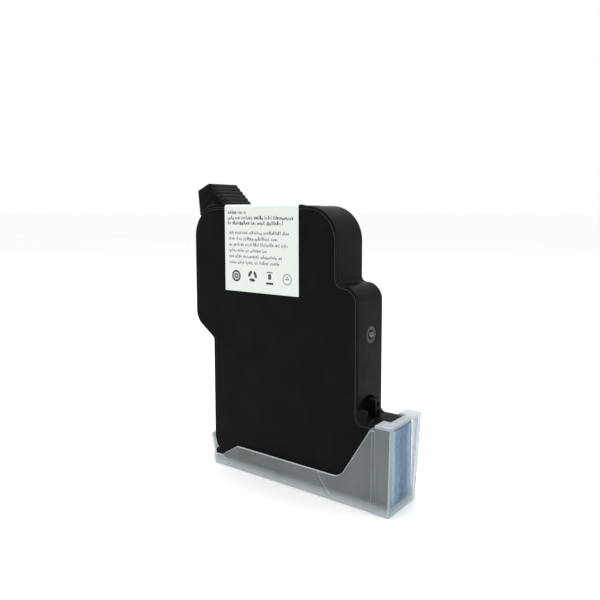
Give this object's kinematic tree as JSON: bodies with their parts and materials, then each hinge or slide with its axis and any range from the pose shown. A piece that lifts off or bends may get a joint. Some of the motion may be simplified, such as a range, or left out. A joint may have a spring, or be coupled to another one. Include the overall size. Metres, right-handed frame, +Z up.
{
  "type": "inkjet coder ink cartridge",
  "caption": "Flat black ink cartridge of a hand-held date coder, with a spring bag inside, a side nose with the print head, and a clear cap that swings off the nose.",
  "frame": {"origin": "middle of the overall box, on the underside of the nozzle cap, which the cartridge stands on", "axes": "+Z up along the body, +X towards the print head's nose, +Y from the labelled front face to the back"},
  "size_m": [0.1284, 0.0304, 0.1562],
  "materials": {
    "black_plastic": "moulded glass-filled PPO, black, satin",
    "cover_plastic": "moulded cover, black, fine matt grain",
    "natural_plastic": "uncoloured polypropylene",
    "clear_plastic": "translucent polypropylene, milky, satin",
    "bag_film": "laminated barrier film",
    "label_paper": "off-white coated label stock with grey print",
    "stainless_steel": "rolled stainless steel",
    "head_ceramic": "fired ceramic carrier",
    "silicon": "polished silicon",
    "orifice_plate": "gold plated nickel",
    "polyimide": "amber polyimide tape circuit",
    "contact_gold": "gold plated copper",
    "sealant": "cured black epoxy bead",
    "tape_blue": "pale blue protective film with a darker blue band over the nozzles"
  },
  "bodies": {
    "cartridge": {"outer_frame": "black_plastic", "inner_frame": "natural_plastic", "front_cover": "cover_plastic", "back_cover": "cover_plastic", "grip_tab": "black_plastic", "label": "label_paper", "fill_plug": "black_plastic", "fill_ball": "stainless_steel", "bag_film_front": "bag_film", "bag_film_back": "bag_film", "bow_spring": "stainless_steel", "ink_filter": "stainless_steel", "ink_manifold": "natural_plastic", "head_carrier": "head_ceramic", "nozzle_die": "silicon", "nozzle_plate": "orifice_plate", "flex_circuit": "polyimide", "contact_pads": "contact_gold", "encapsulant_lower": "sealant", "encapsulant_upper": "sealant", "nozzle_tape": "tape_blue"},
    "front_plate": {"pressure_plate_front": "stainless_steel", "edge_guard_front": "bag_film"},
    "back_plate": {"pressure_plate_back": "stainless_steel", "edge_guard_back": "bag_film"},
    "cap": {"nozzle_cap": "clear_plastic"}
  },
  "joints": [
    {"name": "cap_swing", "type": "hinge", "parent": "cartridge", "child": "cap", "pos_m": [0.05504, 0, 0.0422], "axis": [0, -1, 0], "range_deg": [0, 32]},
    {"name": "front_plate_slide", "type": "slide", "parent": "cartridge", "child": "front_plate", "axis": [0, 1, 0], "range_m": [0, 0.006], "stiffness_N_per_m": 100, "springref_m": -0.01, "deforming": ["bow_spring", "bag_film_front"]},
    {"name": "back_plate_slide", "type": "slide", "parent": "cartridge", "child": "back_plate", "axis": [0, -1, 0], "range_m": [0, 0.006], "stiffness_N_per_m": 100, "springref_m": -0.01, "deforming": ["bow_spring", "bag_film_back"]}
  ],
  "couplings": [
    {"joint": "back_plate_slide", "follows": "front_plate_slide", "ratio": 1}
  ]
}
